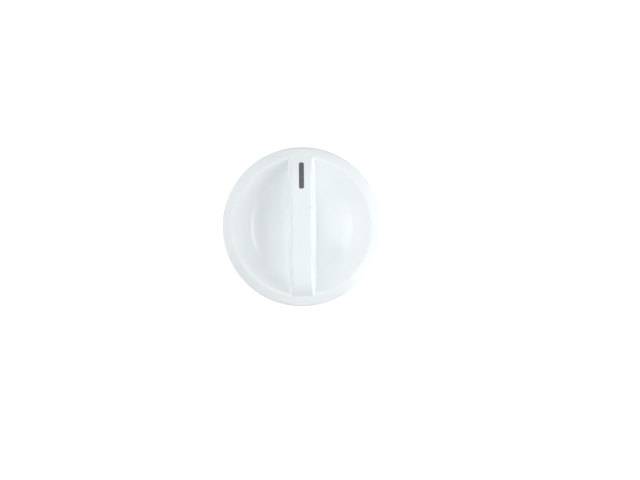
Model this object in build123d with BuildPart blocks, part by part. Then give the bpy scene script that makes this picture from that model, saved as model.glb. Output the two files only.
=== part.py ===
"""Timer knob for a dishwasher: a round white moulding with a dished face, a grip bar and a filled pointer groove.

Millimetres. The knob lies face up on the open edge of its skirt: +Z runs out of the face along the shaft's axis,
+Y points from the axis to the pointer, and the origin is on the axis in the plane of the skirt's edge.
"""

import os
from math import asin, cos, degrees, radians, sin, sqrt, tan

from build123d import *

# Skirt and rim
knob_diameter = 57.0  # across the skirt's open edge
skirt_draft = 1.5  # degrees, the skirt narrows towards the face
skirt_wall = 2.0
crest_height = 15.0  # of the circle where the rim turns over into the dish, above the skirt's open edge
crest_radius = 1.1
rim_width = 3.9  # from the skirt's open edge in to the crest
rim_slope = 20.0  # degrees, the rim's outward fall beside the crest
rim_fall = 1.55  # from the crest to the rim's outer corner
rim_corner_radius = 0.9
rim_section = 3.0  # thickness of the moulding below the crest

# Dish
dish_radius = 108.0  # of the shallow middle
cove_width = 6.5  # of the tighter turn from the shallow middle up to the crest
cove_rise = 2.07
face_wall = 2.2

# Grip bar
bar_rise = 3.9  # of the bar's level top above the crest
bar_top_width = 7.2  # between the flanks, before the edges are rounded
bar_foot_width = 10.2  # where the flanks meet the dish, at the bar's middle
bar_edge_radius = 0.7
bar_pointer_run = 17.4  # of the pointer end's fall from the level top to the crest
bar_heel_run = 11.3  # of the other end's fall
bar_bury = 0.5  # of the bar's ends, past the crest and into the rim
flank_margin = 0.6  # of the flanks' run past their feet, inside the dish
flank_end_depth = 1.2  # of the flanks' lower edges at the crest, inside the rim
bar_wall = 2.6  # over the hollow under the bar
bar_core_width = 3.0
bar_core_inset = 4.5  # of that hollow, short of the crest

# Pointer groove and its paint
pointer_length = 9.3
pointer_width = 1.8
pointer_corner_radius = 0.6
pointer_inset = 1.95  # of the groove's outer end, short of the crest
pointer_depth = 0.35
paint_recess = 0.05  # of the paint's surface below the bar's
paint_clearance = 0.01  # between the paint and the groove

# Hub, ribs and shaft bore
hub_diameter = 12.4
hub_recess = 1.0  # of the hub's end inside the skirt
rib_count = 4
rib_thickness = 1.6
rib_recess = 4.5  # of the ribs' lower edges inside the skirt
shaft_diameter = 6.35
shaft_flat_height = 5.55  # from the shaft's flat to its round back
guide_clearance = 0.225  # radial, in the round mouth of the bore
drive_clearance = 0.03  # radial, in the flatted length of the bore
guide_length = 3.6
guide_lead_in = 0.4
drive_length = 9.0

# Levels and radii that follow from the sizes above
knob_radius = knob_diameter / 2
crest_reach = knob_radius - rim_width
cove_reach = crest_reach - cove_width
rim_corner_height = crest_height - rim_fall
rim_corner_reach = knob_radius - rim_corner_height * tan(radians(skirt_draft))
dish_centre = crest_height - cove_rise + sqrt(dish_radius**2 - cove_reach**2)
dish_floor = dish_centre - dish_radius
bar_top = crest_height + bar_rise
bar_pointer_reach = crest_reach - bar_pointer_run
bar_heel_reach = crest_reach - bar_heel_run
pointer_distance = crest_reach - pointer_inset - pointer_length / 2
flank_reach = bar_foot_width / 2 + flank_margin
flank_stretch = (flank_reach - bar_top_width / 2) / (bar_foot_width - bar_top_width) * 2
flank_level = bar_top - flank_stretch * (bar_top - dish_floor)
flank_rise = (crest_height - flank_end_depth - flank_level) / bar_rise
bar_root = flank_level - face_wall / 2
hub_radius = hub_diameter / 2
guide_radius = shaft_diameter / 2 + guide_clearance
drive_radius = shaft_diameter / 2 + drive_clearance
drive_flat = shaft_flat_height - shaft_diameter / 2 + drive_clearance


def end_radius(run):
    """Radius of the arc that carries the bar's level top down to the crest over that run."""
    return (run**2 + bar_rise**2) / (2 * bar_rise)


pointer_end_radius = end_radius(bar_pointer_run)
heel_end_radius = end_radius(bar_heel_run)


def bar_section(distance, level, steepness, overrun, root):
    """Lengthwise section of the bar, that far from its middle. Its ends fall, or rise where steepness is below zero."""
    side = 1 if steepness > 0 else -1
    with BuildSketch(Plane.YZ.offset(distance)) as section:
        with BuildLine():
            corners = []
            for direction, reach, radius in (
                (-1, bar_heel_reach, heel_end_radius),
                (1, bar_pointer_reach, pointer_end_radius),
            ):
                turn = degrees(asin((crest_reach + overrun - reach) / radius))
                first_turn = turn if side == direction else 0
                EllipticalCenterArc(
                    (direction * reach, level - steepness * radius),
                    radius,
                    abs(steepness) * radius,
                    90 * side - first_turn,
                    arc_size=turn,
                )
                drop = steepness * radius * (1 - cos(radians(turn)))
                corners.append((direction * (crest_reach + overrun), level - drop))
            heel, pointer = corners
            Line((-bar_heel_reach, level), (bar_pointer_reach, level))
            Polyline(heel, (heel[0], root), (pointer[0], root), pointer)
        make_face()
    return section.sketch


def runs_along_top(edge):
    """True for the edges between the bar's top and its flanks."""
    direction = edge.tangent_at(0.5)
    middle = edge.center()
    return abs(direction.Y) > 0.5 and abs(middle.X) < flank_reach - flank_margin and middle.Z > crest_height


def pointer_block(side_gap, low_radius, high_radius):
    """A rounded block along the pointer, between two arcs about the centre of the bar's pointer end."""
    with BuildPart() as block:
        with BuildSketch(Plane.XY.offset(bar_root)):
            with Locations((0, pointer_distance)):
                RectangleRounded(
                    pointer_width - 2 * side_gap,
                    pointer_length - 2 * side_gap,
                    pointer_corner_radius - side_gap,
                )
        extrude(amount=bar_top - bar_root)
        with BuildSketch(Plane.YZ):
            with Locations((bar_pointer_reach, bar_top - pointer_end_radius)):
                Circle(high_radius)
                Circle(low_radius, mode=Mode.SUBTRACT)
        extrude(amount=pointer_width, both=True, mode=Mode.INTERSECT)
    return block.part


# Bar: its flanks are steep in the middle and lean out towards its ends, and its long edges are rounded
with BuildPart() as grip_bar:
    for distance, level, steepness in (
        (-flank_reach, flank_level, -flank_rise),
        (-bar_top_width / 2, bar_top, 1),
        (bar_top_width / 2, bar_top, 1),
        (flank_reach, flank_level, -flank_rise),
    ):
        add(bar_section(distance, level, steepness, bar_bury, bar_root))
    loft(ruled=True)
    fillet(grip_bar.edges().filter_by(runs_along_top), bar_edge_radius)

# Hollow under the bar, on both sides of the hub, reaching down into the space under the face
with BuildPart() as bar_core:
    core_section = bar_section(0, bar_top - bar_wall, 1, -bar_core_inset, hub_recess)
    extrude(core_section, amount=bar_core_width / 2, both=True)
    Box(knob_diameter, hub_diameter, knob_diameter, mode=Mode.SUBTRACT)

# Everything that is open under the face, around the hub and the ribs
with BuildPart() as underside:
    with BuildSketch(Plane.XZ):
        with BuildLine():
            ceiling = CenterArc(
                (0, dish_centre), dish_radius + face_wall, -90, degrees(asin(cove_reach / dish_radius))
            )
            wall_top = crest_height - rim_section
            wall_reach = knob_radius - skirt_wall
            Polyline(
                ceiling @ 1,
                (wall_reach - wall_top * tan(radians(skirt_draft)), wall_top),
                (wall_reach, 0),
                (0, 0),
                ceiling @ 0,
            )
        make_face()
    revolve(axis=Axis.Z)
    add(bar_core.part)
    with BuildSketch(Plane.XY.offset(hub_recess)):
        Circle(hub_radius)
    extrude(amount=crest_height, mode=Mode.SUBTRACT)
    with BuildSketch(Plane.XY.offset(rib_recess)):
        rib_length = knob_radius - hub_radius / 2
        with PolarLocations((knob_radius + hub_radius / 2) / 2, rib_count, start_angle=180 / rib_count):
            Rectangle(rib_length, rib_thickness)
    extrude(amount=crest_height, mode=Mode.SUBTRACT)

# Round mouth and flatted length of the shaft bore
with BuildPart() as shaft_bore:
    guide_end = hub_recess + guide_lead_in + guide_length
    with BuildSketch(Plane.XZ):
        with BuildLine():
            Polyline(
                (0, hub_recess),
                (guide_radius + guide_lead_in, hub_recess),
                (guide_radius, hub_recess + guide_lead_in),
                (guide_radius, guide_end),
                (0, guide_end),
                close=True,
            )
        make_face()
    revolve(axis=Axis.Z)
    with BuildSketch(Plane.XY.offset(guide_end)):
        Circle(drive_radius)
        with Locations((0, drive_flat)):
            Rectangle(
                shaft_diameter * 2, shaft_diameter, align=(Align.CENTER, Align.MIN), mode=Mode.SUBTRACT
            )
    extrude(amount=drive_length)

# The moulding
with BuildPart() as knob_body:
    with BuildSketch(Plane.XZ) as face_section:
        with BuildLine():
            dish = CenterArc((0, dish_centre), dish_radius, -90, degrees(asin(cove_reach / dish_radius)))
            cove = TangentArc(dish @ 1, (crest_reach, crest_height), tangent=dish % 1)
            rim_direction = (cos(radians(rim_slope)), -sin(radians(rim_slope)))
            rim = TangentArc(cove @ 1, (rim_corner_reach, rim_corner_height), tangent=rim_direction)
            Polyline(rim @ 1, (knob_radius, 0), (0, 0), dish @ 0)
        make_face()
        crest_corner = face_section.vertices().sort_by_distance((crest_reach, crest_height))[0]
        fillet(crest_corner, crest_radius)
        rim_corner = face_section.vertices().sort_by_distance((rim_corner_reach, rim_corner_height))[0]
        fillet(rim_corner, rim_corner_radius)
    revolve(axis=Axis.Z)
    add(grip_bar.part)
    add(underside.part, mode=Mode.SUBTRACT)
    add(pointer_block(0, pointer_end_radius - pointer_depth, pointer_end_radius + bar_rise), mode=Mode.SUBTRACT)
    add(shaft_bore.part, mode=Mode.SUBTRACT)

# Paint in the pointer groove
paint_low = pointer_end_radius - pointer_depth + paint_clearance
paint_high = pointer_end_radius - paint_recess
with BuildPart() as pointer_mark:
    add(pointer_block(paint_clearance, paint_low, paint_high))

os.makedirs("parts", exist_ok=True)
for name, piece in (("knob_body", knob_body), ("pointer_mark", pointer_mark)):
    piece.part.label = name
    export_step(piece.part, f"parts/{name}.step")
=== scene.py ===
"""Looks for the dishwasher timer knob: glossy white plastic, matt grey paint, a pale floor and soft light.

Metres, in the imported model's frame: +Z runs out of the knob's face and +Y points along the pointer.
Angles are in degrees: zenith angles count from +Z and azimuths from +X towards +Y.
"""

import math

import bpy
from mathutils import Matrix, Vector

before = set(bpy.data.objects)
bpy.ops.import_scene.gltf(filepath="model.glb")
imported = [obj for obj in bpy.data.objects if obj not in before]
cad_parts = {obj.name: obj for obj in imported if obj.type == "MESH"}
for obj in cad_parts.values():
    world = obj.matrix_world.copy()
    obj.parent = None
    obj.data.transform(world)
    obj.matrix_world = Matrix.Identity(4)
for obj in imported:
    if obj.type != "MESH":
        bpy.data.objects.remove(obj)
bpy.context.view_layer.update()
scene = bpy.context.scene
scene.view_settings.view_transform = "Standard"

# Photograph's frame
image_width = 640
lens = 100.0
sensor_width = 36.0
knob_radius_pixels = 79.45
rim_reach = 0.02815  # from the axis to the rim's outer corner, as the camera sees it
rim_level = 0.01345
axis_left_of_middle = 17.85  # pixels from the picture's middle to the knob's axis
axis_above_middle = 13.5
camera_roll = -0.55

# Colours, linear
plastic_colour = (0.880, 0.930, 0.948)
plastic_shade = (0.868, 0.919, 0.938)
nick_colour = (0.52, 0.52, 0.51)
speck_colour = (0.80, 0.81, 0.81)
pale_speck_colour = (1.0, 1.0, 1.0)
paint_colour = (0.124, 0.135, 0.142)
paint_shade = (0.102, 0.112, 0.118)
floor_colour = (0.30, 0.30, 0.30)

# Small blemishes on the plastic: place, radius and colour. The first two make up one nick
blemishes = (
    ((0.00302, 0.00660, 0.01888), 0.00024, speck_colour),
    ((0.00355, 0.00660, 0.01850), 0.00040, nick_colour),
    ((-0.00680, 0.00500, 0.01170), 0.00034, speck_colour),
    ((-0.02560, -0.00660, 0.01430), 0.00034, pale_speck_colour),
)
blemish_core = 0.4  # share of a blemish's radius that has its full colour

# Surfaces: how fine the unevenness is, and the roughness between its low and high places
plastic_cloud_scale = 90.0
plastic_roughness = (0.035, 0.050)
plastic_ior = 1.5
paint_cloud_scale = 900.0
paint_roughness = (0.45, 0.60)
paint_bump_strength = 0.15
paint_bump_height = 0.00005
colour_noise_range = (0.35, 0.65)  # of the noise, between the darker and the lighter colour
gloss_noise_range = (0.3, 0.7)

# Floor
floor_reach = 1.5
floor_level = -0.00002  # just clear of the skirt's edge
floor_roughness = 0.9
floor_glow = 0.80  # seen by the camera and in reflections only

# Soft parts of the sky: zenith angle, azimuth, radius of the even middle, radius of the faded edge, strength.
# The gaps take light away
sky_strength = 0.225
soft_lights = {
    "overhead": (0, 0, 4.3, 25.7, 0.79),
    "left_wall": (51.3, 161, 20, 41, 1.22),
    "left_low": (67, 200, 10, 13, 5.0),
    "right_wall": (57, -12.5, 20, 34, 2.60),
    "back_high": (35, 59, 15.5, 43.5, 1.09),
    "front_high": (39, 241, 8, 31, 0.90),
    "right_gap": (37.5, 0, 22, 29, -1.44),
    "front_gap": (77, 219, 22.5, 48, -0.78),
    "back_gap": (67, 22, 33.5, 60.5, -1.25),
    "left_gap": (9.4, 126, 6.3, 13, -0.75),
}

# Windows that the hollows mirror: strength, then each edge's zenith angle, azimuth, and the angles from there
# at which the window is fully lit and fully dark
left_window_arc = (0, 0, 18.4, 18.8)
left_window_slant = (89.4, 241, 89.5, 89.8)
windows = {
    "left_window": (
        1.3,
        (left_window_arc, left_window_slant, (90, 180, 80.5, 81.1), (90, 90, 97.5, 98.8)),
    ),
    "left_window_core": (
        1.9,
        (
            left_window_arc,
            left_window_slant,
            (90, 180, 70.0, 82.0),
            (90, 90, 90.0, 97.0),
            (90, 270, 90.0, 101.5),
        ),
    ),
    "right_window": (
        4.4,
        ((4.5, 180, 20.0, 19.8), (4.5, 180, 21.2, 21.4), (90, 90, 97.8, 99.5), (90, 270, 97.2, 98.9)),
    ),
}

# Lamps, aimed at the knob's face: zenith angle, azimuth, distance, width across, height along the zenith angle,
# and radiance
face_centre = Vector((0, 0, 0.014))
lamps = {
    "right_lamp": (72, 0, 0.25, 0.25, 0.12, 2.8),
    "right_front_lamp": (72, -30, 0.25, 0.20, 0.12, 1.15),
    "right_back_lamp": (50, 45, 0.18, 0.12, 0.08, 0.48),
    "right_high_lamp": (62, 0, 0.15, 0.15, 0.06, 0.34),
}

# Places of a Mix node's colour sockets
mix_share = 0
mix_first = 6
mix_second = 7
mix_result = 2


def direction(zenith, azimuth):
    """Unit vector towards a point of the sky."""
    tilt = math.radians(zenith)
    turn = math.radians(azimuth)
    return Vector((math.sin(tilt) * math.cos(turn), math.sin(tilt) * math.sin(turn), math.cos(tilt)))


def new_material(name):
    """A node material, its tree and its shader."""
    material = bpy.data.materials.new(name)
    material.use_nodes = True
    tree = material.node_tree
    return material, tree, tree.nodes["Principled BSDF"]


def add_node(tree, kind, **values):
    """A node with some of its inputs set by name."""
    node = tree.nodes.new(kind)
    for name, value in values.items():
        node.inputs[name.replace("_", " ")].default_value = value
    return node


def two_tone(tree, driver, low, high):
    """A ramp from one colour to another over the driver's range."""
    ramp = tree.nodes.new("ShaderNodeValToRGB")
    for element, position, colour in zip(ramp.color_ramp.elements, colour_noise_range, (low, high)):
        element.position = position
        element.color = (*colour, 1)
    tree.links.new(driver, ramp.inputs["Fac"])
    return ramp.outputs["Color"]


def spread(tree, driver, low, high):
    """The driver's noise turned into a value between low and high."""
    noise_low, noise_high = gloss_noise_range
    node = add_node(
        tree, "ShaderNodeMapRange", From_Min=noise_low, From_Max=noise_high, To_Min=low, To_Max=high
    )
    tree.links.new(driver, node.inputs["Value"])
    return node.outputs["Result"]


def blemished(tree, place, colour, centre, radius, fleck):
    """The colour with one small round fleck of another colour, fading out at its edge."""
    gap = tree.nodes.new("ShaderNodeVectorMath")
    gap.operation = "DISTANCE"
    gap.inputs[1].default_value = centre
    tree.links.new(place, gap.inputs[0])
    core = blemish_core * radius
    fade = add_node(tree, "ShaderNodeMapRange", From_Min=core, From_Max=radius, To_Min=1.0, To_Max=0.0)
    tree.links.new(gap.outputs["Value"], fade.inputs["Value"])
    mix = tree.nodes.new("ShaderNodeMix")
    mix.data_type = "RGBA"
    tree.links.new(fade.outputs["Result"], mix.inputs[mix_share])
    tree.links.new(colour, mix.inputs[mix_first])
    mix.inputs[mix_second].default_value = (*fleck, 1)
    return mix.outputs[mix_result]


def white_plastic():
    """Glossy white moulded plastic: a faint drift of tone, slightly uneven gloss, and its blemishes."""
    material, tree, shader = new_material("white_plastic")
    place = tree.nodes.new("ShaderNodeTexCoord").outputs["Object"]
    cloud = add_node(tree, "ShaderNodeTexNoise", Scale=plastic_cloud_scale, Detail=3.0)
    tree.links.new(place, cloud.inputs["Vector"])
    colour = two_tone(tree, cloud.outputs["Fac"], plastic_shade, plastic_colour)
    for centre, radius, fleck in blemishes:
        colour = blemished(tree, place, colour, centre, radius, fleck)
    tree.links.new(colour, shader.inputs["Base Color"])
    tree.links.new(spread(tree, cloud.outputs["Fac"], *plastic_roughness), shader.inputs["Roughness"])
    shader.inputs["IOR"].default_value = plastic_ior
    return material


def grey_paint():
    """Matt grey paint wiped into the pointer groove, a little uneven."""
    material, tree, shader = new_material("grey_paint")
    place = tree.nodes.new("ShaderNodeTexCoord").outputs["Object"]
    cloud = add_node(tree, "ShaderNodeTexNoise", Scale=paint_cloud_scale, Detail=4.0)
    tree.links.new(place, cloud.inputs["Vector"])
    colour = two_tone(tree, cloud.outputs["Fac"], paint_shade, paint_colour)
    tree.links.new(colour, shader.inputs["Base Color"])
    tree.links.new(spread(tree, cloud.outputs["Fac"], *paint_roughness), shader.inputs["Roughness"])
    bump = add_node(tree, "ShaderNodeBump", Strength=paint_bump_strength, Distance=paint_bump_height)
    tree.links.new(cloud.outputs["Fac"], bump.inputs["Height"])
    tree.links.new(bump.outputs["Normal"], shader.inputs["Normal"])
    return material


def pale_floor():
    """Nearly white to the camera and in reflections, with a faint shadow, and grey to other light."""
    material, tree, shader = new_material("floor")
    shown = tree.nodes.new("ShaderNodeBsdfPrincipled")
    for surface in (shader, shown):
        surface.inputs["Base Color"].default_value = (*floor_colour, 1)
        surface.inputs["Roughness"].default_value = floor_roughness
    shown.inputs["Specular IOR Level"].default_value = 0.0
    shown.inputs["Emission Color"].default_value = (1, 1, 1, 1)
    shown.inputs["Emission Strength"].default_value = floor_glow
    light_path = tree.nodes.new("ShaderNodeLightPath")
    seen = light_path.outputs["Is Camera Ray"]
    for ray in ("Is Glossy Ray", "Is Transmission Ray"):
        either = tree.nodes.new("ShaderNodeMath")
        either.operation = "MAXIMUM"
        tree.links.new(seen, either.inputs[0])
        tree.links.new(light_path.outputs[ray], either.inputs[1])
        seen = either.outputs["Value"]
    choice = tree.nodes.new("ShaderNodeMixShader")
    for source, socket in zip((seen, shader.outputs["BSDF"], shown.outputs["BSDF"]), choice.inputs):
        tree.links.new(source, socket)
    tree.links.new(choice.outputs["Shader"], tree.nodes["Material Output"].inputs["Surface"])
    return material


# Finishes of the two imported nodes
for node_name, finish in (("knob_body", white_plastic()), ("pointer_mark", grey_paint())):
    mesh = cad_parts[node_name].data
    mesh.materials.clear()
    mesh.materials.append(finish)

# Floor
floor_mesh = bpy.data.meshes.new("floor")
floor_corners = [
    (x * floor_reach, y * floor_reach, floor_level) for x, y in ((-1, -1), (1, -1), (1, 1), (-1, 1))
]
floor_mesh.from_pydata(floor_corners, [], [(0, 1, 2, 3)])
floor_mesh.materials.append(pale_floor())
floor = bpy.data.objects.new("floor", floor_mesh)
scene.collection.objects.link(floor)

# Camera
pixel = rim_reach / knob_radius_pixels
camera = bpy.data.cameras.new("camera")
camera.lens = lens
camera.sensor_width = sensor_width
eye = bpy.data.objects.new("camera", camera)
eye.location = (
    axis_left_of_middle * pixel,
    -axis_above_middle * pixel,
    rim_level + pixel * image_width * lens / sensor_width,
)
eye.rotation_euler = (0, 0, math.radians(camera_roll))
scene.collection.objects.link(eye)
scene.camera = eye

# Sky: an even level with soft brighter and darker parts, and the windows
sky = bpy.data.worlds.new("sky")
sky.use_nodes = True
sky_tree = sky.node_tree
towards = sky_tree.nodes.new("ShaderNodeTexCoord").outputs["Generated"]


def sky_math(operation, first, second):
    """A sum, product or the like of two values in the sky's tree, each a link or a number."""
    node = sky_tree.nodes.new("ShaderNodeMath")
    node.operation = operation
    for socket, value in zip(node.inputs, (first, second)):
        if isinstance(value, float):
            socket.default_value = value
        else:
            sky_tree.links.new(value, socket)
    return node.outputs["Value"]


def faded(zenith, azimuth, lit_angle, dark_angle):
    """One nearer to that point of the sky than the lit angle, nought beyond the dark angle, or the reverse."""
    facing = sky_tree.nodes.new("ShaderNodeVectorMath")
    facing.operation = "DOT_PRODUCT"
    facing.inputs[1].default_value = direction(zenith, azimuth)
    sky_tree.links.new(towards, facing.inputs[0])
    fade = sky_tree.nodes.new("ShaderNodeMapRange")
    fade.interpolation_type = "SMOOTHSTEP"
    fade.inputs["From Min"].default_value = math.cos(math.radians(dark_angle))
    fade.inputs["From Max"].default_value = math.cos(math.radians(lit_angle))
    sky_tree.links.new(facing.outputs["Value"], fade.inputs["Value"])
    return fade.outputs["Result"]


level = sky_strength
for zenith, azimuth, inner, outer, strength in soft_lights.values():
    light = sky_math("MULTIPLY", faded(zenith, azimuth, inner, outer), float(strength))
    level = sky_math("ADD", light, level)
level = sky_math("MAXIMUM", level, 0.0)
for strength, edges in windows.values():
    light = float(strength)
    for edge in edges:
        light = sky_math("MULTIPLY", faded(*edge), light)
    level = sky_math("ADD", light, level)
background = sky_tree.nodes["Background"]
background.inputs["Color"].default_value = (1, 1, 1, 1)
sky_tree.links.new(level, background.inputs["Strength"])
scene.world = sky

# Lamps
for name, (zenith, azimuth, distance, width, height, radiance) in lamps.items():
    lamp = bpy.data.lights.new(name, "AREA")
    lamp.shape = "RECTANGLE"
    lamp.size = width
    lamp.size_y = height
    lamp.energy = radiance * width * height * math.pi
    holder = bpy.data.objects.new(name, lamp)
    out = direction(zenith, azimuth)
    aim = (-out).to_track_quat("-Z", "Y").to_matrix().to_4x4()
    holder.matrix_world = Matrix.Translation(face_centre + out * distance) @ aim
    holder.visible_camera = False
    scene.collection.objects.link(holder)
